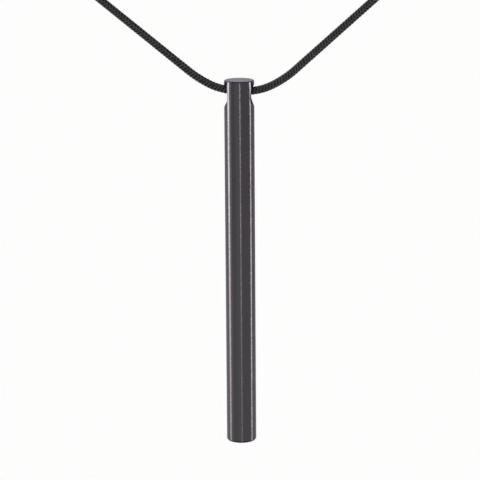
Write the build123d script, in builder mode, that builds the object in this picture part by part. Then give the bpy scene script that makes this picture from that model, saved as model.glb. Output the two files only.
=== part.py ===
"""A breathing-whistle pendant: a slim closed tube that hangs on a braided neck cord.

Millimetres, +Z up. The origin is on the hanging tube's axis, level with the two places where the
cord enters its end fittings, because that is where the necklace is held up. X runs along the cord
through the tube's cross slot, and the tube hangs below the origin.
"""

import os
from math import radians, tan

from build123d import *

# Tube: a quarter-inch tube with a 0.065-inch wall, closed at the top by a pressed-in disc.
TUBE_DIAMETER = 6.35
TUBE_WALL = 1.65
TUBE_LENGTH = 78.7
TUBE_TOP = -18.6  # height of the closed top face
TOP_CHAMFER = 0.2
LIP_RADIUS = 0.45  # rounded lower end, which meets the lips
MOUTH_CHAMFER = 0.25
PLUG_THICKNESS = 1.0

# Cross slot under the top: the way out for the air, and the hole for the cord.
SLOT_WIDTH = 3.75
SLOT_HEIGHT = 4.55
SLOT_DEPTH = 1.05  # metal left between the top face and the slot
SLOT_ROUND = 0.12  # the slot's outer edges are broken so that they don't cut the cord

# Cord: one piece through the slot. Each end sits in the bottom of a fitting's socket.
CORD_DIAMETER = 1.5
CORD_ROUTE = [
    (-35.2, 0, 3.48),
    (-8.6, 0, -18.3),
    (-3.6, 0, -20.78),
    (3.9, 0, -21.14),
    (9.5, 0, -18.48),
    (34.2, 0, 3.67),
]
RUN_SHARE = 0.45  # how much of the shorter run each arc takes

# Barrel of both end fittings, along the cord.
SOCKET_DEPTH = 5.5
SOCKET_CLEARANCE = 0.1
BARREL_DIAMETER = 3.0
BARREL_LENGTH = 7.0
BARREL_SHOULDER = 0.5
BARREL_ROUND = 0.3

# Eye on the right-hand fitting.
EYE_HOLE_DIAMETER = 2.6
EYE_DIAMETER = 5.0
EYE_THICKNESS = 1.4
EYE_ROUND = 0.4
EYE_HOLE_CHAMFER = 0.15
EYE_CENTRE = 9.0  # from the barrel's open end

# Lobster clasp on the left-hand fitting. Lengths run from the barrel's open end.
BASE_CENTRE = 8.2
BASE_RADIUS = 1.8
CLAW_CENTRE = 13.6
CLAW_RADIUS = 2.95
OPENING_START = 11.0
OPENING_START_RADIUS = 0.9
OPENING_RADIUS = 1.8
CLAW_THICKNESS = 1.7
BASE_THICKNESS = 2.6
CHEEK_RADIUS = 0.95  # metal round the lever's pin
GATE_ROOF = -0.1
GATE_END = 13.2  # where the claw's nose begins
CLAW_ROUND = 0.4
CLASP_ROUND = 0.3

# Lever, pin and spring of the clasp.
PIVOT = (9.1, -0.75)
PIN_DIAMETER = 0.8
PIN_CLEARANCE = 0.03
LEVER_THICKNESS = 1.0
LEVER_ROUND = 0.15
LEVER_SLOT_WIDTH = 1.15
LEVER_BOSS_RADIUS = 0.75
LEVER_TIP = (13.6, -1.36)
LEVER_TIP_RADIUS = 0.38
TAIL_TIP = (9.0, 0.4)
TAIL_RADIUS = 0.3
TAB_ROOT = (10.5, -1.3)
TAB_ROOT_RADIUS = 0.5
TAB_TIP = (10.75, -2.9)
TAB_TIP_RADIUS = 0.45
LEVER_SLOT_BACK = 8.0
LEVER_SLOT_ROOF = 0.85
SPRING_AXIS = 0.35
SPRING_START = 6.9
SPRING_DIAMETER = 0.85
SPRING_WIRE = 0.16
SPRING_TURNS = 4
SPRING_LENGTH = 1.75  # with the claw shut
SPRING_CAVITY_DIAMETER = 1.0

GEOMETRY_TOLERANCE = 1e-3
TUBE_RADIUS = TUBE_DIAMETER / 2
BORE_RADIUS = TUBE_RADIUS - TUBE_WALL
TUBE_BOTTOM = TUBE_TOP - TUBE_LENGTH
SLOT_TOP = TUBE_TOP - SLOT_DEPTH
SLOT_MIDDLE = SLOT_TOP - SLOT_HEIGHT / 2
CORD_RADIUS = CORD_DIAMETER / 2
BASE_LENGTH = BASE_CENTRE + BASE_RADIUS - LEVER_SLOT_BACK + CLASP_ROUND
BASE_DEPTH = LEVER_SLOT_ROOF + BASE_RADIUS + CLASP_ROUND


def arc_radii(route):
    """The radius of the arc at each corner: as large as the two runs beside it allow."""
    radii = []
    for before, corner, after in zip(route, route[1:], route[2:]):
        run_in = Vector(corner) - Vector(before)
        run_out = Vector(after) - Vector(corner)
        half_turn = radians(run_in.get_angle(run_out) / 2)
        shorter = min(run_in.length, run_out.length)
        radii.append(RUN_SHARE * shorter / tan(half_turn))
    return radii


def fitting_plane(end, neighbour):
    """The plane of a fitting on a cord end: origin at its open end, local X out along the cord."""
    outward = (Vector(end) - Vector(neighbour)).normalized()
    mouth = Vector(end) - outward * SOCKET_DEPTH
    return Plane(origin=mouth, x_dir=outward, z_dir=(0, 1, 0))


def barrel_profile():
    """Half of a barrel's section, in the open sketch: the axis is local X."""
    Polygon(
        (0, CORD_RADIUS + SOCKET_CLEARANCE),
        (0, BARREL_DIAMETER / 2),
        (BARREL_LENGTH - BARREL_SHOULDER, BARREL_DIAMETER / 2),
        (BARREL_LENGTH, BARREL_DIAMETER / 2 - BARREL_SHOULDER),
        (BARREL_LENGTH, 0),
        (SOCKET_DEPTH, 0),
        (SOCKET_DEPTH, CORD_RADIUS + SOCKET_CLEARANCE),
        align=None,
    )


def slot_rims(part):
    """The tube's edges where the slot breaks through its outside."""
    height = SLOT_HEIGHT / 2
    rims = ShapeList()
    for edge in part.edges():
        place = edge @ 0.5
        outside = abs((place.X**2 + place.Y**2) ** 0.5 - TUBE_RADIUS) < GEOMETRY_TOLERANCE
        if outside and abs(place.Z - SLOT_MIDDLE) < height + GEOMETRY_TOLERANCE:
            rims.append(edge)
    return rims


def barrel_rims(part, fitting):
    """The outer rim of a fitting's open end."""
    rims = ShapeList()
    for edge in part.edges().filter_by(GeomType.CIRCLE):
        far = (edge.arc_center - fitting.origin).length > GEOMETRY_TOLERANCE
        if not far and abs(edge.radius - BARREL_DIAMETER / 2) < GEOMETRY_TOLERANCE:
            rims.append(edge)
    return rims


def flat_edges(part):
    """The edges round a fitting's flat front and back."""
    return part.faces().filter_by(Axis.Y).edges()


def hull_of(*circles):
    """The outline stretched round some circles, each (x, y, radius), in the open sketch."""
    for x, y, radius in circles:
        with Locations((x, y)):
            Circle(radius)
    make_hull()


def save(part, name):
    """Labels a finished piece and writes its STEP file."""
    part.label = name
    export_step(part, f"parts/{name}.step")
    print(f"{name}: {part.volume:.2f} mm3, {len(part.solids())} solid")


os.makedirs("parts", exist_ok=True)
LEFT = fitting_plane(CORD_ROUTE[0], CORD_ROUTE[1])
RIGHT = fitting_plane(CORD_ROUTE[-1], CORD_ROUTE[-2])
SPRING_SEAT = Plane(
    origin=LEFT.from_local_coords((SPRING_START, SPRING_AXIS, 0)),
    z_dir=LEFT.x_dir,
)

# Tube body: outside turned, bored from end to end, lip rounded, slot milled straight across.
with BuildPart() as tube_body:
    with BuildSketch(Plane.XY.offset(TUBE_BOTTOM)):
        Circle(TUBE_RADIUS)
    extrude(amount=TUBE_LENGTH)
    chamfer(tube_body.faces().sort_by(Axis.Z)[-1].edges(), TOP_CHAMFER)
    fillet(tube_body.faces().sort_by(Axis.Z)[0].edges(), LIP_RADIUS)
    with BuildSketch(Plane.XY.offset(TUBE_BOTTOM)):
        Circle(BORE_RADIUS)
    extrude(amount=TUBE_LENGTH, mode=Mode.SUBTRACT)
    mouth_edge = tube_body.faces().sort_by(Axis.Z)[0].edges().sort_by(SortBy.RADIUS)[0]
    chamfer(mouth_edge, MOUTH_CHAMFER)
    with BuildSketch(Plane.YZ):
        with Locations((0, SLOT_MIDDLE)):
            SlotOverall(SLOT_HEIGHT, SLOT_WIDTH, rotation=90)
    extrude(amount=TUBE_DIAMETER, both=True, mode=Mode.SUBTRACT)
    fillet(slot_rims(tube_body), SLOT_ROUND)
save(tube_body.part, "tube_body")

# Top plug: the disc pressed into the tube's upper end, flush with its face.
with BuildPart() as top_plug:
    with BuildSketch(Plane.XY.offset(TUBE_TOP)):
        Circle(BORE_RADIUS)
    extrude(amount=-PLUG_THICKNESS)
save(top_plug.part, "top_plug")

# Cord: a plain tube along straight runs joined by tangent arcs.
cord_radii = arc_radii(CORD_ROUTE)
with BuildPart() as cord:
    with BuildLine() as cord_line:
        FilletPolyline(*CORD_ROUTE, radius=cord_radii)
    with BuildSketch(Plane(origin=cord_line.line @ 0, z_dir=cord_line.line % 0)) as cord_section:
        Circle(CORD_RADIUS)
    sweep()
save(cord.part, "cord")
cord_length = cord_line.wires()[0].length
print(f"cord: {cord_length:.2f} mm long, section x length {cord_section.sketch.area * cord_length:.2f} mm3")
print("cord arc radii:", [round(radius, 2) for radius in cord_radii])

# Eye end: a barrel glued on the cord, with a flat eye in line with it.
with BuildPart() as eye_end:
    with BuildSketch(RIGHT.offset(-EYE_THICKNESS / 2)):
        with Locations((EYE_CENTRE, 0)):
            Circle(EYE_DIAMETER / 2)
    extrude(amount=EYE_THICKNESS)
    fillet(flat_edges(eye_end), EYE_ROUND)
    with BuildSketch(RIGHT):
        barrel_profile()
    revolve(axis=Axis(RIGHT.origin, RIGHT.x_dir))
    fillet(barrel_rims(eye_end, RIGHT), BARREL_ROUND)
    with BuildSketch(RIGHT.offset(-EYE_THICKNESS / 2)):
        with Locations((EYE_CENTRE, 0)):
            Circle(EYE_HOLE_DIAMETER / 2)
    extrude(amount=EYE_THICKNESS, mode=Mode.SUBTRACT)
    chamfer(flat_edges(eye_end).filter_by(GeomType.CIRCLE).group_by(SortBy.RADIUS)[0], EYE_HOLE_CHAMFER)
save(eye_end.part, "eye_end")

# Clasp body: a barrel glued on the cord, a block with two cheeks, and an open claw.
with BuildPart() as clasp_body:
    with BuildSketch(LEFT.offset(-CLAW_THICKNESS / 2)):
        hull_of((BASE_CENTRE, 0, BASE_RADIUS), (CLAW_CENTRE, 0, CLAW_RADIUS))
    extrude(amount=CLAW_THICKNESS)
    with BuildSketch(LEFT.offset(-CLAW_THICKNESS / 2)):
        hull_of((OPENING_START, 0, OPENING_START_RADIUS), (CLAW_CENTRE, 0, OPENING_RADIUS))
    extrude(amount=CLAW_THICKNESS, mode=Mode.SUBTRACT)
    with BuildSketch(LEFT.offset(-CLAW_THICKNESS / 2)):
        with Locations((BASE_CENTRE, GATE_ROOF)):
            Rectangle(GATE_END - BASE_CENTRE, CLAW_RADIUS, align=(Align.MIN, Align.MAX))
    extrude(amount=CLAW_THICKNESS, mode=Mode.SUBTRACT)
    fillet(flat_edges(clasp_body), CLAW_ROUND)
    with BuildSketch(LEFT.offset(-BASE_THICKNESS / 2)):
        hull_of((BASE_CENTRE, 0, BASE_RADIUS), (*PIVOT, CHEEK_RADIUS))
    extrude(amount=BASE_THICKNESS)
    cheek_faces = clasp_body.faces().filter_by(Axis.Y).group_by(Axis.Y)
    fillet((cheek_faces[0] + cheek_faces[-1]).edges(), CLASP_ROUND)
    with BuildSketch(LEFT):
        barrel_profile()
    revolve(axis=Axis(LEFT.origin, LEFT.x_dir))
    fillet(barrel_rims(clasp_body, LEFT), BARREL_ROUND)
    with BuildSketch(LEFT.offset(-LEVER_SLOT_WIDTH / 2)):
        with Locations((LEVER_SLOT_BACK, LEVER_SLOT_ROOF)):
            Rectangle(BASE_LENGTH, BASE_DEPTH, align=(Align.MIN, Align.MAX))
    extrude(amount=LEVER_SLOT_WIDTH, mode=Mode.SUBTRACT)
    with BuildSketch(LEFT.offset(-BASE_THICKNESS / 2)):
        with Locations(PIVOT):
            Circle(PIN_DIAMETER / 2)
    extrude(amount=BASE_THICKNESS, mode=Mode.SUBTRACT)
    with BuildSketch(SPRING_SEAT):
        Circle(SPRING_CAVITY_DIAMETER / 2)
    extrude(amount=LEVER_SLOT_BACK - SPRING_START, mode=Mode.SUBTRACT)
save(clasp_body.part, "clasp_body")

# Clasp pin: pressed through both cheeks.
with BuildPart() as clasp_pin:
    with BuildSketch(LEFT.offset(-BASE_THICKNESS / 2)):
        with Locations(PIVOT):
            Circle(PIN_DIAMETER / 2)
    extrude(amount=BASE_THICKNESS)
save(clasp_pin.part, "clasp_pin")

# Clasp lever: an arm that closes the claw, a tail for the spring and a thumb tab.
with BuildPart() as clasp_lever:
    for outline in (
        ((*PIVOT, LEVER_BOSS_RADIUS), (*LEVER_TIP, LEVER_TIP_RADIUS)),
        ((*PIVOT, TAIL_RADIUS), (*TAIL_TIP, TAIL_RADIUS)),
        ((*TAB_ROOT, TAB_ROOT_RADIUS), (*TAB_TIP, TAB_TIP_RADIUS)),
    ):
        with BuildSketch(LEFT.offset(-LEVER_THICKNESS / 2)):
            hull_of(*outline)
        extrude(amount=LEVER_THICKNESS)
    fillet(flat_edges(clasp_lever), LEVER_ROUND)
    with BuildSketch(LEFT.offset(-LEVER_THICKNESS / 2)):
        with Locations(PIVOT):
            Circle(PIN_DIAMETER / 2 + PIN_CLEARANCE)
    extrude(amount=LEVER_THICKNESS, mode=Mode.SUBTRACT)
save(clasp_lever.part, "clasp_lever")

# Clasp spring: a coil pressed between its seat in the block and the lever's tail.
with BuildPart() as clasp_spring:
    coil_radius = (SPRING_DIAMETER - SPRING_WIRE) / 2
    coil_height = SPRING_LENGTH - SPRING_WIRE
    with BuildLine() as coil_line:
        Helix(
            pitch=coil_height / SPRING_TURNS,
            height=coil_height,
            radius=coil_radius,
            center=SPRING_SEAT.origin + SPRING_SEAT.z_dir * SPRING_WIRE / 2,
            direction=SPRING_SEAT.z_dir,
        )
    with BuildSketch(Plane(origin=coil_line.line @ 0, z_dir=coil_line.line % 0)):
        Circle(SPRING_WIRE / 2)
    sweep()
save(clasp_spring.part, "clasp_spring")

pivot_place = LEFT.from_local_coords((*PIVOT, 0))
print("lever pivot:", pivot_place)
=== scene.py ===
"""Looks of the breathing-whistle pendant: a gunmetal tube on a braided cord, with its clasp and eye.

Metres, in the part's own frame: +Z up, the origin level with the cord's two ends, X along the cord.
"""

from math import cos, radians, sin, tau

import bpy
import numpy as np
from mathutils import Matrix, Vector


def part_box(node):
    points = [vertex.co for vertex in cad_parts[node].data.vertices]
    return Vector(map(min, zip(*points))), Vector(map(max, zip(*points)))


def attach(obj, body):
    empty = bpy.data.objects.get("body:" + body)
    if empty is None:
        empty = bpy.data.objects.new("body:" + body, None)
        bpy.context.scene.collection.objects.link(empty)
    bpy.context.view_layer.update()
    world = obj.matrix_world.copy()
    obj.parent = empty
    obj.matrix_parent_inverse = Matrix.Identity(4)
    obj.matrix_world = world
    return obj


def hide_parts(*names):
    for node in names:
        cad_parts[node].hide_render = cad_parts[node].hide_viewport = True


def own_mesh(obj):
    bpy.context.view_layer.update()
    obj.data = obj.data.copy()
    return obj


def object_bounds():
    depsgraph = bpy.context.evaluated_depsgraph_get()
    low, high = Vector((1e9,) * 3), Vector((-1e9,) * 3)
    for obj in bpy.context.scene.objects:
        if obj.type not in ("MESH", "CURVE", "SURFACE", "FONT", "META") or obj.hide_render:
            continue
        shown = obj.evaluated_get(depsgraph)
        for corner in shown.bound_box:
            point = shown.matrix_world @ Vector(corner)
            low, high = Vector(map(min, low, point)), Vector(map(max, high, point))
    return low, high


MM = 0.001

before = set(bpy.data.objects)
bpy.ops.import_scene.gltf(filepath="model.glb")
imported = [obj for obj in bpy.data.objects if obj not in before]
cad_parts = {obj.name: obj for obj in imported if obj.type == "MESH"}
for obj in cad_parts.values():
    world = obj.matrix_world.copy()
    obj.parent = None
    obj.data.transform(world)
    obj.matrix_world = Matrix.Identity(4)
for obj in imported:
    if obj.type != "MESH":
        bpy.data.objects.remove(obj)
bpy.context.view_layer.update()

# Camera: where it stands, seen from the middle of the tube's top face.
CAMERA_TURN = radians(3)
CAMERA_DISTANCE = 455.7 * MM
CAMERA_RISE = 69.7 * MM
CAMERA_PITCH = radians(12.865)
CAMERA_ROLL = radians(-0.418)
CAMERA_AIM = radians(0.006)  # how far to the left of the tube's axis it looks
CAMERA_LENS = 164.77
CAMERA_NEAR = 10 * MM  # it sees nothing closer than this

# Cord: the route from the clasp, through the tube's cross slot, to the eye.
CORD_DIAMETER = 1.5 * MM
CORD_ROUTE = [
    (-0.0352, 0, 0.00348),
    (-0.0129, 0, -0.01478),
    (-0.0086, 0, -0.0183),
    (-0.0036, 0, -0.02078),
    (0.0039, 0, -0.02114),
    (0.0095, 0, -0.01848),
    (0.01412, 0, -0.01434),
    (0.0342, 0, 0.00367),
]
ACROSS = (0.0, 1.0, 0.0)  # square to the plane that the route lies in
SPLINE_RESOLUTION = 48

# Braid: four yarns wind each way round a core, each over two and under two.
BRAID_RADIUS = 0.86 * MM  # to the tops of the yarns
BRAID_PINCH = 0.04 * MM  # how much smaller it is where the barrels grip it
PINCH_LENGTH = 7 * MM  # from each end of the cord
PINCH_EASE = 1 * MM  # the last of that length, where the braid swells again
YARNS_EACH_WAY = 4
YARN_LEAD = 2.82 * MM  # along the cord for one turn of a yarn
YARN_WIDTH = 0.58 * MM
YARN_THICKNESS = 0.32 * MM
YARN_RISE = 0.06 * MM  # out where it goes over, in where it goes under
YARN_RING = 12
YARN_STEPS = 20  # rings in one turn
WEAVE_PHASE = radians(-45)  # so a yarn goes from over to under midway between two crossings
BRAID_TWIST = 0.02 / MM  # the braid's columns of ribs turn slowly round the cord
BRAID_FACING = radians(67.5)  # in the middle of the cord one column faces the front
CORE_DIAMETER = 1.2 * MM

# Clasp spring: a coil with closed ends, from its seat in the clasp's block to the lever's tail.
SPRING_SEAT_OUT = 1.4 * MM  # the seat's place past the cord's end, along the cord
SPRING_SEAT_UP = 0.35 * MM
SPRING_LENGTH = 1.75 * MM
SPRING_DIAMETER = 0.85 * MM
SPRING_WIRE = 0.16 * MM
SPRING_TURNS = 4.5
CLOSED_TURNS = 0.75  # at each end, where the turns touch
SPRING_STEPS = 120  # rings along the whole wire
SPRING_RING = 10

# In the materials below, depths are in metres and the sizes of lumps in millimetres. A shape's
# factor under 1 draws the lumps out along that axis.

# Coating: dark gunmetal whose hue drifts from place to place.
COATING_WARM = (0.219, 0.193, 0.216)
COATING_COOL = (0.199, 0.194, 0.213)
COATING_EDGE_TINT = (0.88, 0.86, 1.0, 1)  # of what it mirrors at a grazing angle
BARE_STEEL = (0.5, 0.49, 0.48)

# Turned surface of the tube and its plug: the lathe's lines, a faint ripple from the cut, and the
# coating's hue in streaks along the part.
TURNED_PITCH = 0.06
TURNED_DRIFT = 0.05  # how far a line wanders round the part
TURNED_DEPTH = 1.2e-6
RIPPLE_SIZE = 0.4
RIPPLE_DEPTH = 8e-6
RIPPLE_ROUGHNESS = (-0.05, 0.05)  # added to the rest
STREAK_SIZE = 0.7
STREAK_SHAPE = (1, 1, 0.12)
TURNED_CLOUD_SIZE = 4.0
TURNED_ROUGHNESS = (0.12, 0.16)

# Tumbled surface: shallow dents, a fine grain and thin coating at the edges of the castings.
EDGE_WIDTH = 0.18 * MM
EDGE_RUBBED = (0.998, 0.93)  # cosine from straight normal to rounded: rubbing starts, is full
EDGE_PATCHES = (0.2, 1.0)  # the least and the most of the rubbing, from place to place
EDGE_SAMPLES = 8
TUMBLED_CLOUD_SIZE = 2.0
GRAIN_SIZE = 0.12
GRAIN_DEPTH = 0.6e-6
GRAIN_ROUGHNESS = (0.2, 0.3)
DENT_SIZE = 0.9
DENT_DEPTH = 4e-6

# Spring wire: fine scratches and a trace of straw colour from its heat treatment.
STRAW_STEEL = (0.5, 0.46, 0.4)
STRAW_SIZE = 0.5
SCRATCH_SIZE = 0.03
SCRATCH_SHAPE = (0.15, 1, 0.15)
SCRATCH_DEPTH = 0.4e-6
SCRATCH_ROUGHNESS = (0.2, 0.35)

# Thread: the filaments that one yarn is twisted from.
FILAMENTS = 18  # round a yarn's whole outline
FILAMENT_TWIST = 0.7  # lines across for each millimetre along
FILAMENT_DEPTH = 8e-6
FUZZ_SIZE = 0.08
FUZZ_ROUGHNESS = (0.3, 0.45)
PATCH_SIZE = 0.6
PATCH_HIGHLIGHT = (0.55, 1.0)  # how strong the painted highlight is, the least and the most, from place to place
HIGHLIGHT_FROM = 0.7  # where the painted highlight on a yarn's top starts, between 0 at its side and 1 at its middle
THREAD_PAINTED_SHADE = (0.003, 0.003, 0.0035)  # the black thread, with painted shade down between the yarns
THREAD_PAINTED_HIGHLIGHT = (0.135, 0.123, 0.136)  # painted highlight along the yarns' tops
THREAD_SPECULAR = 0.15

# Studio. Each strip or side: azimuth, half its width, softness of its edges, brightness.
STRIPS = [
    (radians(-90), radians(6), radians(4), 4.05),
    (radians(-75), radians(4), radians(10), 0.36),
    (radians(93.5), radians(4), radians(3), 4.9),
    (radians(7.4), radians(1.5), radians(1.5), 1.8),
    (radians(-8), radians(6), radians(20), 0.08),
]
STRIP_COLOUR = (1.0, 0.96, 0.9)
STRIP_FULL_ABOVE = radians(-8)
STRIP_DIM_BELOW = radians(-20)
STRIP_LOW_SHARE = 0.24
STRIP_TOP = radians(15)
STRIP_END = radians(35)
SIDES = [
    (radians(-145), radians(40), radians(12), 0.22),
    (radians(145), radians(40), radians(12), 0.1),
]
ROOM_LIGHT = [  # elevation, brightness
    (radians(-34), 0.02),
    (radians(-24), 0.28),
    (radians(-17), 0.295),
    (radians(-8), 0.23),
    (radians(30), 0.22),
    (radians(60), 0.07),
]
BACKDROP = 1.0
FLOOR_SIZE = 12.0
FLOOR_GAP = 80 * MM
FLOOR_COLOUR = (0.9, 0.9, 0.9, 1)
FLOOR_GLOW = 0.41  # light through the floor, as on a photographer's lit table
SKY_PANEL = 1.3
SKY_PANEL_WIDTH = radians(60)
SKY_PANEL_TILT = (radians(25), radians(-15), 0)


# ---------------------------------------------------------------- shader nodes


def node(tree, kind, inputs=(), **settings):
    """A new shader node. inputs maps a socket's name or number to a value or to a node's output."""
    made = tree.nodes.new(kind)
    for name, value in settings.items():
        setattr(made, name, value)
    for socket, value in dict(inputs).items():
        if isinstance(value, bpy.types.NodeSocket):
            tree.links.new(value, made.inputs[socket])
        else:
            made.inputs[socket].default_value = value
    return made


def times(tree, first, second):
    return node(tree, "ShaderNodeMath", {0: first, 1: second}, operation="MULTIPLY").outputs[0]


def plus(tree, first, second):
    return node(tree, "ShaderNodeMath", {0: first, 1: second}, operation="ADD").outputs[0]


def raised(tree, value):
    """Half of a value and a half more, so that -1 to 1 becomes 0 to 1."""
    return plus(tree, times(tree, value, 0.5), 0.5)


def wave(tree, operation, turns):
    """The sine or cosine of a number of whole turns."""
    angle = times(tree, turns, tau)
    return node(tree, "ShaderNodeMath", {0: angle}, operation=operation).outputs[0]


def vector_math(tree, operation, inputs):
    """A vector node: its first output is a vector, and its output Value is a number."""
    return node(tree, "ShaderNodeVectorMath", inputs, operation=operation)


def stretched(tree, vector, factors):
    return vector_math(tree, "MULTIPLY", {0: vector, 1: factors}).outputs[0]


def band(tree, value, start, full):
    """0 at start and 1 at full, with a smooth step between."""
    inputs = {"Value": value, "From Min": start, "From Max": full}
    made = node(tree, "ShaderNodeMapRange", inputs, interpolation_type="SMOOTHSTEP")
    return made.outputs["Result"]


def blend(tree, share, first, second):
    """A colour between two, by a share from 0 to 1. Each is a socket or three numbers."""
    whole = [c if isinstance(c, bpy.types.NodeSocket) else (*c, 1) for c in (first, second)]
    # A Mix node's colours are its inputs 6 and 7 and its output 2.
    inputs = {"Factor": share, 6: whole[0], 7: whole[1]}
    return node(tree, "ShaderNodeMix", inputs, data_type="RGBA").outputs[2]


def place_in_mm(tree):
    """Where a point is on its own piece, in millimetres: a texture's scale stops at 1000."""
    place = node(tree, "ShaderNodeTexCoord").outputs["Object"]
    return stretched(tree, place, (1 / MM, 1 / MM, 1 / MM))


def noise(tree, vector, size, detail=2.0):
    """Uneven values round 0.5, with lumps of one size, in the vector's own unit."""
    inputs = {"Vector": vector, "Scale": 1 / size, "Detail": detail}
    return node(tree, "ShaderNodeTexNoise", inputs).outputs["Fac"]


def spread(tree, value, low, high):
    """Stretches the middle of a noise, 0.3 to 0.7, to run from low to high."""
    inputs = {"Value": value, "From Min": 0.3, "From Max": 0.7, "To Min": low, "To Max": high}
    return node(tree, "ShaderNodeMapRange", inputs).outputs["Result"]


def bumped(tree, height, depth, under=None):
    """A normal for a surface with this height, from 0 to 1, times a depth in metres."""
    inputs = {"Height": height, "Distance": depth, "Strength": 1.0}
    if under is not None:
        inputs["Normal"] = under
    return node(tree, "ShaderNodeBump", inputs).outputs["Normal"]


# ---------------------------------------------------------------- camera


def make_camera():
    """The camera, aimed by its own turn, pitch and roll."""
    low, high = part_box("tube_body")
    top = Vector(((low.x + high.x) / 2, (low.y + high.y) / 2, high.z))
    offset = Vector((sin(CAMERA_TURN), -cos(CAMERA_TURN), 0)) * CAMERA_DISTANCE
    place = top + offset + Vector((0, 0, CAMERA_RISE))
    camera = bpy.data.objects.new("camera", bpy.data.cameras.new("camera"))
    camera.data.lens = CAMERA_LENS
    camera.data.clip_start = CAMERA_NEAR
    turn = Matrix.Rotation(CAMERA_TURN + CAMERA_AIM, 4, "Z")
    pitch = Matrix.Rotation(radians(90) - CAMERA_PITCH, 4, "X")
    roll = Matrix.Rotation(CAMERA_ROLL, 4, "Z")
    camera.matrix_world = Matrix.Translation(place) @ turn @ pitch @ roll
    bpy.context.scene.collection.objects.link(camera)
    bpy.context.scene.camera = camera


# ---------------------------------------------------------------- cord and spring


def route_line():
    """Points along the smooth line of the cord: a NURBS spline with its route as control points."""
    data = bpy.data.curves.new("route", "CURVE")
    data.dimensions = "3D"
    data.resolution_u = SPLINE_RESOLUTION
    spline = data.splines.new("NURBS")
    spline.points.add(len(CORD_ROUTE) - 1)
    for point, place in zip(spline.points, CORD_ROUTE):
        point.co = (*place, 1)
    spline.order_u = 3
    spline.use_endpoint_u = True
    carrier = bpy.data.objects.new("route", data)
    mesh = bpy.data.meshes.new_from_object(carrier)
    line = np.array([vertex.co for vertex in mesh.vertices], float)
    bpy.data.meshes.remove(mesh)
    bpy.data.objects.remove(carrier)
    return line


def unit(vectors):
    return vectors / np.linalg.norm(vectors, axis=1)[:, None]


def walk(line, spacing):
    """Even steps along a line: how far each is, its place and the line's direction there."""
    runs = np.linalg.norm(np.diff(line, axis=0), axis=1)
    travelled = np.concatenate([[0], np.cumsum(runs)])
    steps = int(round(travelled[-1] / spacing))
    distance = np.linspace(0, travelled[-1], steps + 1)
    place = np.stack([np.interp(distance, travelled, line[:, axis]) for axis in range(3)], 1)
    return distance, place, unit(np.gradient(place, axis=0))


def tube_rings(centre, heading, outward, width, thickness, count):
    """Rings of points round a line, each an ellipse whose thickness lies along outward."""
    side = unit(np.cross(heading, outward))
    up = np.cross(side, heading)
    turn = np.arange(count) / count * tau
    across = side[:, None, :] * (np.cos(turn) * width / 2)[None, :, None]
    through = up[:, None, :] * (np.sin(turn) * thickness / 2)[None, :, None]
    return centre[:, None, :] + across + through


def yarn_rings(distance, place, heading, start, way):
    """One yarn of the braid. way is 1 or -1, the way it winds."""
    across = np.broadcast_to(ACROSS, heading.shape)
    normal = unit(np.cross(heading, across))
    angle = way * distance / YARN_LEAD * tau + start
    rise = way * np.cos(YARNS_EACH_WAY / 2 * angle + WEAVE_PHASE) * YARN_RISE
    turned = angle + (distance - distance[-1] / 2) * BRAID_TWIST + BRAID_FACING
    outward = normal * np.cos(turned)[:, None] + across * np.sin(turned)[:, None]
    from_end = np.minimum(distance, distance[-1] - distance)
    pinch = BRAID_PINCH * np.clip(PINCH_LENGTH - from_end, 0, PINCH_EASE) / PINCH_EASE
    reach = BRAID_RADIUS - pinch - YARN_THICKNESS / 2 - YARN_RISE
    centre = place + outward * (reach + rise)[:, None]
    yarn_heading = unit(np.gradient(centre, axis=0))
    return tube_rings(centre, yarn_heading, outward, YARN_WIDTH, YARN_THICKNESS, YARN_RING)


def mesh_of_tubes(name, tubes):
    """One mesh of closed tubes, each given as its rings and how far along it each ring is.

    Its UV map holds that distance in millimetres, and the share of the way round.
    """
    corners, faces, along, around = [], [], [], []
    for rings, distance in tubes:
        first = sum(len(c) for c in corners)
        steps, count = rings.shape[:2]
        corners.append(rings.reshape(-1, 3))
        for step in range(steps - 1):
            near, far = distance[step], distance[step + 1]
            here, there = first + step * count, first + (step + 1) * count
            for k in range(count):
                after = (k + 1) % count
                faces.append((here + k, here + after, there + after, there + k))
                along.extend((near, near, far, far))
                around.extend((k / count, (k + 1) / count, (k + 1) / count, k / count))
        for ring, order in ((0, -1), (steps - 1, 1)):
            faces.append(tuple(first + ring * count + k for k in range(count))[::order])
            along.extend([distance[ring]] * count)
            around.extend([0.0] * count)
    mesh = bpy.data.meshes.new(name)
    mesh.from_pydata(np.concatenate(corners).tolist(), [], faces)
    layer = mesh.uv_layers.new(name="Yarn")
    flat = np.stack([np.array(along) / MM, np.array(around)], 1)
    layer.data.foreach_set("uv", flat.ravel())
    mesh.shade_smooth()
    made = bpy.data.objects.new(name, mesh)
    bpy.context.scene.collection.objects.link(made)
    return made


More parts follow.
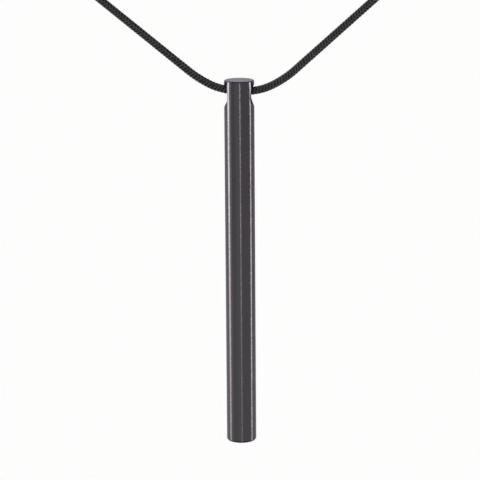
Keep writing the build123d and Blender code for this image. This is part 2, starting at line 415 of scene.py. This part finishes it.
def make_spring():
    """The clasp's spring, which shortens towards its seat as the lever's tail presses on it."""
    outward = (Vector(CORD_ROUTE[0]) - Vector(CORD_ROUTE[1])).normalized()
    upward = Vector(ACROSS).cross(outward)
    seat = Vector(CORD_ROUTE[0]) + outward * SPRING_SEAT_OUT + upward * SPRING_SEAT_UP
    turns = np.linspace(0, SPRING_TURNS, SPRING_STEPS)
    height = SPRING_LENGTH - SPRING_WIRE
    closed = SPRING_WIRE * CLOSED_TURNS
    climb_turns = [0, CLOSED_TURNS, SPRING_TURNS - CLOSED_TURNS, SPRING_TURNS]
    climb = np.interp(turns, climb_turns, [0, closed, height - closed, height])
    radius = (SPRING_DIAMETER - SPRING_WIRE) / 2
    radial = np.outer(np.cos(turns * tau), upward) + np.outer(np.sin(turns * tau), ACROSS)
    centre = np.array(seat) + radial * radius + np.outer(climb + SPRING_WIRE / 2, outward)
    heading = unit(np.gradient(centre, axis=0))
    wire = tube_rings(centre, heading, radial, SPRING_WIRE, SPRING_WIRE, SPRING_RING)
    spring = mesh_of_tubes("coil_spring", [(wire, turns * tau * radius)])
    spring.data.materials.append(spring_steel())
    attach(spring, "cord")
    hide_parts("clasp_spring")
    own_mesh(spring)


def make_cord():
    """The braided cord along its route."""
    line = route_line()
    distance, place, heading = walk(line, YARN_LEAD / YARN_STEPS)
    tubes = []
    for way in (1, -1):
        for index in range(YARNS_EACH_WAY):
            start = index * tau / YARNS_EACH_WAY
            tubes.append((yarn_rings(distance, place, heading, start, way), distance))
    core_distance, core_place, core_heading = walk(line, CORD_DIAMETER / 2)
    sideways = np.broadcast_to(ACROSS, core_heading.shape)
    core = tube_rings(core_place, core_heading, sideways, CORE_DIAMETER, CORE_DIAMETER, YARN_RING)
    tubes.append((core, core_distance))
    braid = mesh_of_tubes("braided_cord", tubes)
    braid.data.materials.append(waxed_yarn())
    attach(braid, "cord")
    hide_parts("cord")


# ---------------------------------------------------------------- materials


def new_material(name):
    """An empty material, its node tree and its surface socket."""
    made = bpy.data.materials.new(name)
    made.use_nodes = True
    tree = made.node_tree
    tree.nodes.clear()
    surface = tree.nodes.new("ShaderNodeOutputMaterial").inputs["Surface"]
    return made, tree, surface


def lathe_place(tree, place):
    """A vector whose noise is lines round a turned part: mostly how far along the cut a point is."""
    height = node(tree, "ShaderNodeSeparateXYZ", {0: place}).outputs["Z"]
    flat = stretched(tree, place, (1, 1, 0))
    facing = vector_math(tree, "NORMALIZE", {0: flat}).outputs[0]
    radius = vector_math(tree, "LENGTH", {0: flat}).outputs["Value"]
    drift = vector_math(tree, "SCALE", {0: facing, "Scale": TURNED_DRIFT}).outputs[0]
    along = node(tree, "ShaderNodeCombineXYZ", {"Z": plus(tree, height, radius)}).outputs[0]
    return vector_math(tree, "ADD", {0: drift, 1: along}).outputs[0]


def turned_gunmetal():
    """Dark coated steel over a finely turned surface, with a faint drift in its colour."""
    made, tree, surface = new_material("turned_gunmetal")
    place = place_in_mm(tree)
    streaks = noise(tree, stretched(tree, place, STREAK_SHAPE), STREAK_SIZE)
    clouds = noise(tree, place, TURNED_CLOUD_SIZE, detail=4.0)
    lines = noise(tree, lathe_place(tree, place), TURNED_PITCH, detail=3.0)
    ripples = noise(tree, place, RIPPLE_SIZE, detail=1.0)
    even_roughness = spread(tree, clouds, *TURNED_ROUGHNESS)
    rippled = bumped(tree, ripples, RIPPLE_DEPTH)
    shader = node(tree, "ShaderNodeBsdfPrincipled", {
        "Base Color": blend(tree, spread(tree, streaks, 0.0, 1.0), COATING_WARM, COATING_COOL),
        "Metallic": 1.0,
        "Roughness": plus(tree, even_roughness, spread(tree, ripples, *RIPPLE_ROUGHNESS)),
        "Specular Tint": COATING_EDGE_TINT,
        "Normal": bumped(tree, lines, TURNED_DEPTH, under=rippled),
    })
    tree.links.new(shader.outputs[0], surface)
    return made


def tumbled_gunmetal():
    """The same coating over castings smoothed by tumbling, rubbed thin along their edges."""
    made, tree, surface = new_material("tumbled_gunmetal")
    place = place_in_mm(tree)
    clouds = noise(tree, place, TUMBLED_CLOUD_SIZE, detail=4.0)
    grain = noise(tree, place, GRAIN_SIZE, detail=3.0)
    dents = noise(tree, place, DENT_SIZE, detail=1.0)
    rounded = node(tree, "ShaderNodeBevel", {"Radius": EDGE_WIDTH}, samples=EDGE_SAMPLES).outputs[0]
    straight = node(tree, "ShaderNodeNewGeometry").outputs["Normal"]
    alike = vector_math(tree, "DOT_PRODUCT", {0: rounded, 1: straight}).outputs["Value"]
    rubbed = times(tree, band(tree, alike, *EDGE_RUBBED), spread(tree, clouds, *EDGE_PATCHES))
    coated = blend(tree, spread(tree, clouds, 0.0, 1.0), COATING_WARM, COATING_COOL)
    dented = bumped(tree, dents, DENT_DEPTH)
    shader = node(tree, "ShaderNodeBsdfPrincipled", {
        "Base Color": blend(tree, rubbed, coated, BARE_STEEL),
        "Metallic": 1.0,
        "Roughness": spread(tree, grain, *GRAIN_ROUGHNESS),
        "Specular Tint": COATING_EDGE_TINT,
        "Normal": bumped(tree, grain, GRAIN_DEPTH, under=dented),
    })
    tree.links.new(shader.outputs[0], surface)
    return made


def spring_steel():
    """Bare wire with fine scratches and a trace of straw colour."""
    made, tree, surface = new_material("spring_steel")
    place = place_in_mm(tree)
    clouds = noise(tree, place, STRAW_SIZE, detail=3.0)
    scratches = noise(tree, stretched(tree, place, SCRATCH_SHAPE), SCRATCH_SIZE)
    shader = node(tree, "ShaderNodeBsdfPrincipled", {
        "Base Color": blend(tree, spread(tree, clouds, 0.0, 1.0), BARE_STEEL, STRAW_STEEL),
        "Metallic": 1.0,
        "Roughness": spread(tree, scratches, *SCRATCH_ROUGHNESS),
        "Normal": bumped(tree, scratches, SCRATCH_DEPTH),
    })
    tree.links.new(shader.outputs[0], surface)
    return made


def waxed_yarn():
    """Waxed black thread: twisted filaments, with painted shade in the gaps and a painted highlight
    along the yarns' tops.
    """
    made, tree, surface = new_material("waxed_black_thread")
    on_yarn = node(tree, "ShaderNodeUVMap", uv_map="Yarn").outputs["UV"]
    split = node(tree, "ShaderNodeSeparateXYZ", {0: on_yarn})
    along, around = split.outputs["X"], split.outputs["Y"]
    twisted = plus(tree, times(tree, around, FILAMENTS), times(tree, along, FILAMENT_TWIST))
    filaments = raised(tree, wave(tree, "COSINE", twisted))
    place = place_in_mm(tree)
    fuzz = noise(tree, place, FUZZ_SIZE, detail=3.0)
    patches = noise(tree, place, PATCH_SIZE, detail=3.0)
    # Painted highlight along each yarn's outward top, broken by the filament lines and varying in
    # patches, over painted shade between the yarns.
    highlight_crest = band(tree, wave(tree, "SINE", around), HIGHLIGHT_FROM, 1.0)
    painted_highlight = times(tree, highlight_crest, spread(tree, patches, *PATCH_HIGHLIGHT))
    highlight_share = times(tree, painted_highlight, raised(tree, filaments))
    shader = node(tree, "ShaderNodeBsdfPrincipled", {
        "Base Color": blend(tree, highlight_share, THREAD_PAINTED_SHADE, THREAD_PAINTED_HIGHLIGHT),
        "Roughness": spread(tree, fuzz, *FUZZ_ROUGHNESS),
        "Specular IOR Level": THREAD_SPECULAR,
        "Normal": bumped(tree, plus(tree, filaments, fuzz), FILAMENT_DEPTH),
    })
    tree.links.new(shader.outputs[0], surface)
    return made


def dress(names, material):
    """Gives CAD nodes one material."""
    for name in names:
        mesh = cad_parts[name].data
        mesh.materials.clear()
        mesh.materials.append(material)


# ---------------------------------------------------------------- studio


def upright_lights(tree, level, lights):
    """How bright a row of lights is in a direction on plan. Azimuth 0 is the front, 90 degrees +X."""
    total = 0.0
    for azimuth, half_width, softness, strength in lights:
        facing = (sin(azimuth), -cos(azimuth), 0)
        nearness = vector_math(tree, "DOT_PRODUCT", {0: level, 1: facing}).outputs["Value"]
        light = band(tree, nearness, cos(half_width + softness), cos(half_width - softness))
        total = plus(tree, total, times(tree, light, strength))
    return total


def make_room(tree):
    """The studio's light in each direction: upright strip lights in a dim room."""
    direction = node(tree, "ShaderNodeTexCoord").outputs["Generated"]
    height = node(tree, "ShaderNodeSeparateXYZ", {0: direction}).outputs["Z"]
    flat = stretched(tree, direction, (1, 1, 0))
    level = vector_math(tree, "NORMALIZE", {0: flat}).outputs[0]
    low_share = node(tree, "ShaderNodeMapRange", {
        "Value": height,
        "From Min": sin(STRIP_DIM_BELOW),
        "From Max": sin(STRIP_FULL_ABOVE),
        "To Min": STRIP_LOW_SHARE,
    }).outputs["Result"]
    below_top = band(tree, height, sin(STRIP_END), sin(STRIP_TOP))
    lit = times(tree, upright_lights(tree, level, STRIPS), low_share)
    lit = times(tree, lit, below_top)
    strips = vector_math(tree, "SCALE", {0: STRIP_COLOUR, "Scale": lit}).outputs[0]
    # The ramp runs from straight down at 0 to straight up at 1.
    ramp = node(tree, "ShaderNodeValToRGB", {"Fac": raised(tree, height)})
    stops = ramp.color_ramp.elements
    for index, (elevation, brightness) in enumerate(ROOM_LIGHT):
        stop = stops[index] if index < len(stops) else stops.new(1.0)
        stop.position = sin(elevation) / 2 + 0.5
        stop.color = (brightness, brightness, brightness, 1)
    dim = plus(tree, ramp.outputs["Color"], upright_lights(tree, level, SIDES))
    return vector_math(tree, "ADD", {0: strips, 1: dim}).outputs[0]


def make_world():
    """The camera sees a white backdrop. Everything else sees the studio's room."""
    world = bpy.data.worlds.new("studio")
    world.use_nodes = True
    bpy.context.scene.world = world
    tree = world.node_tree
    tree.nodes.clear()
    room = node(tree, "ShaderNodeBackground", {"Color": make_room(tree)}).outputs[0]
    white = {"Color": (1, 1, 1, 1), "Strength": BACKDROP}
    backdrop = node(tree, "ShaderNodeBackground", white).outputs[0]
    seen = node(tree, "ShaderNodeLightPath").outputs["Is Camera Ray"]
    mix = node(tree, "ShaderNodeMixShader", {0: seen, 1: room, 2: backdrop})
    node(tree, "ShaderNodeOutputWorld", {"Surface": mix.outputs[0]})


def make_floor():
    """A pale, faintly glowing floor under the part, which the metal doesn't mirror."""
    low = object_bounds()[0]
    bpy.ops.mesh.primitive_plane_add(size=FLOOR_SIZE, location=(0, 0, low.z - FLOOR_GAP))
    floor = bpy.context.object
    floor.name = "floor"
    made, tree, surface = new_material("pale_floor")
    paper = node(tree, "ShaderNodeBsdfDiffuse", {"Color": FLOOR_COLOUR}).outputs[0]
    glow = node(tree, "ShaderNodeEmission", {"Strength": FLOOR_GLOW}).outputs[0]
    both = node(tree, "ShaderNodeAddShader", {0: paper, 1: glow})
    tree.links.new(both.outputs[0], surface)
    floor.data.materials.append(made)
    floor.visible_glossy = False


def make_sky_panel():
    """Wide soft light from above."""
    lamp = bpy.data.lights.new("sky_panel", "SUN")
    lamp.energy = SKY_PANEL
    lamp.angle = SKY_PANEL_WIDTH
    panel = bpy.data.objects.new("sky_panel", lamp)
    panel.rotation_euler = SKY_PANEL_TILT
    panel.visible_glossy = False
    bpy.context.scene.collection.objects.link(panel)


bpy.context.scene.view_settings.view_transform = "Standard"
make_camera()
make_spring()
make_cord()
dress(["tube_body", "top_plug"], turned_gunmetal())
dress(["eye_end", "clasp_body", "clasp_lever", "clasp_pin"], tumbled_gunmetal())
make_world()
make_floor()
make_sky_panel()
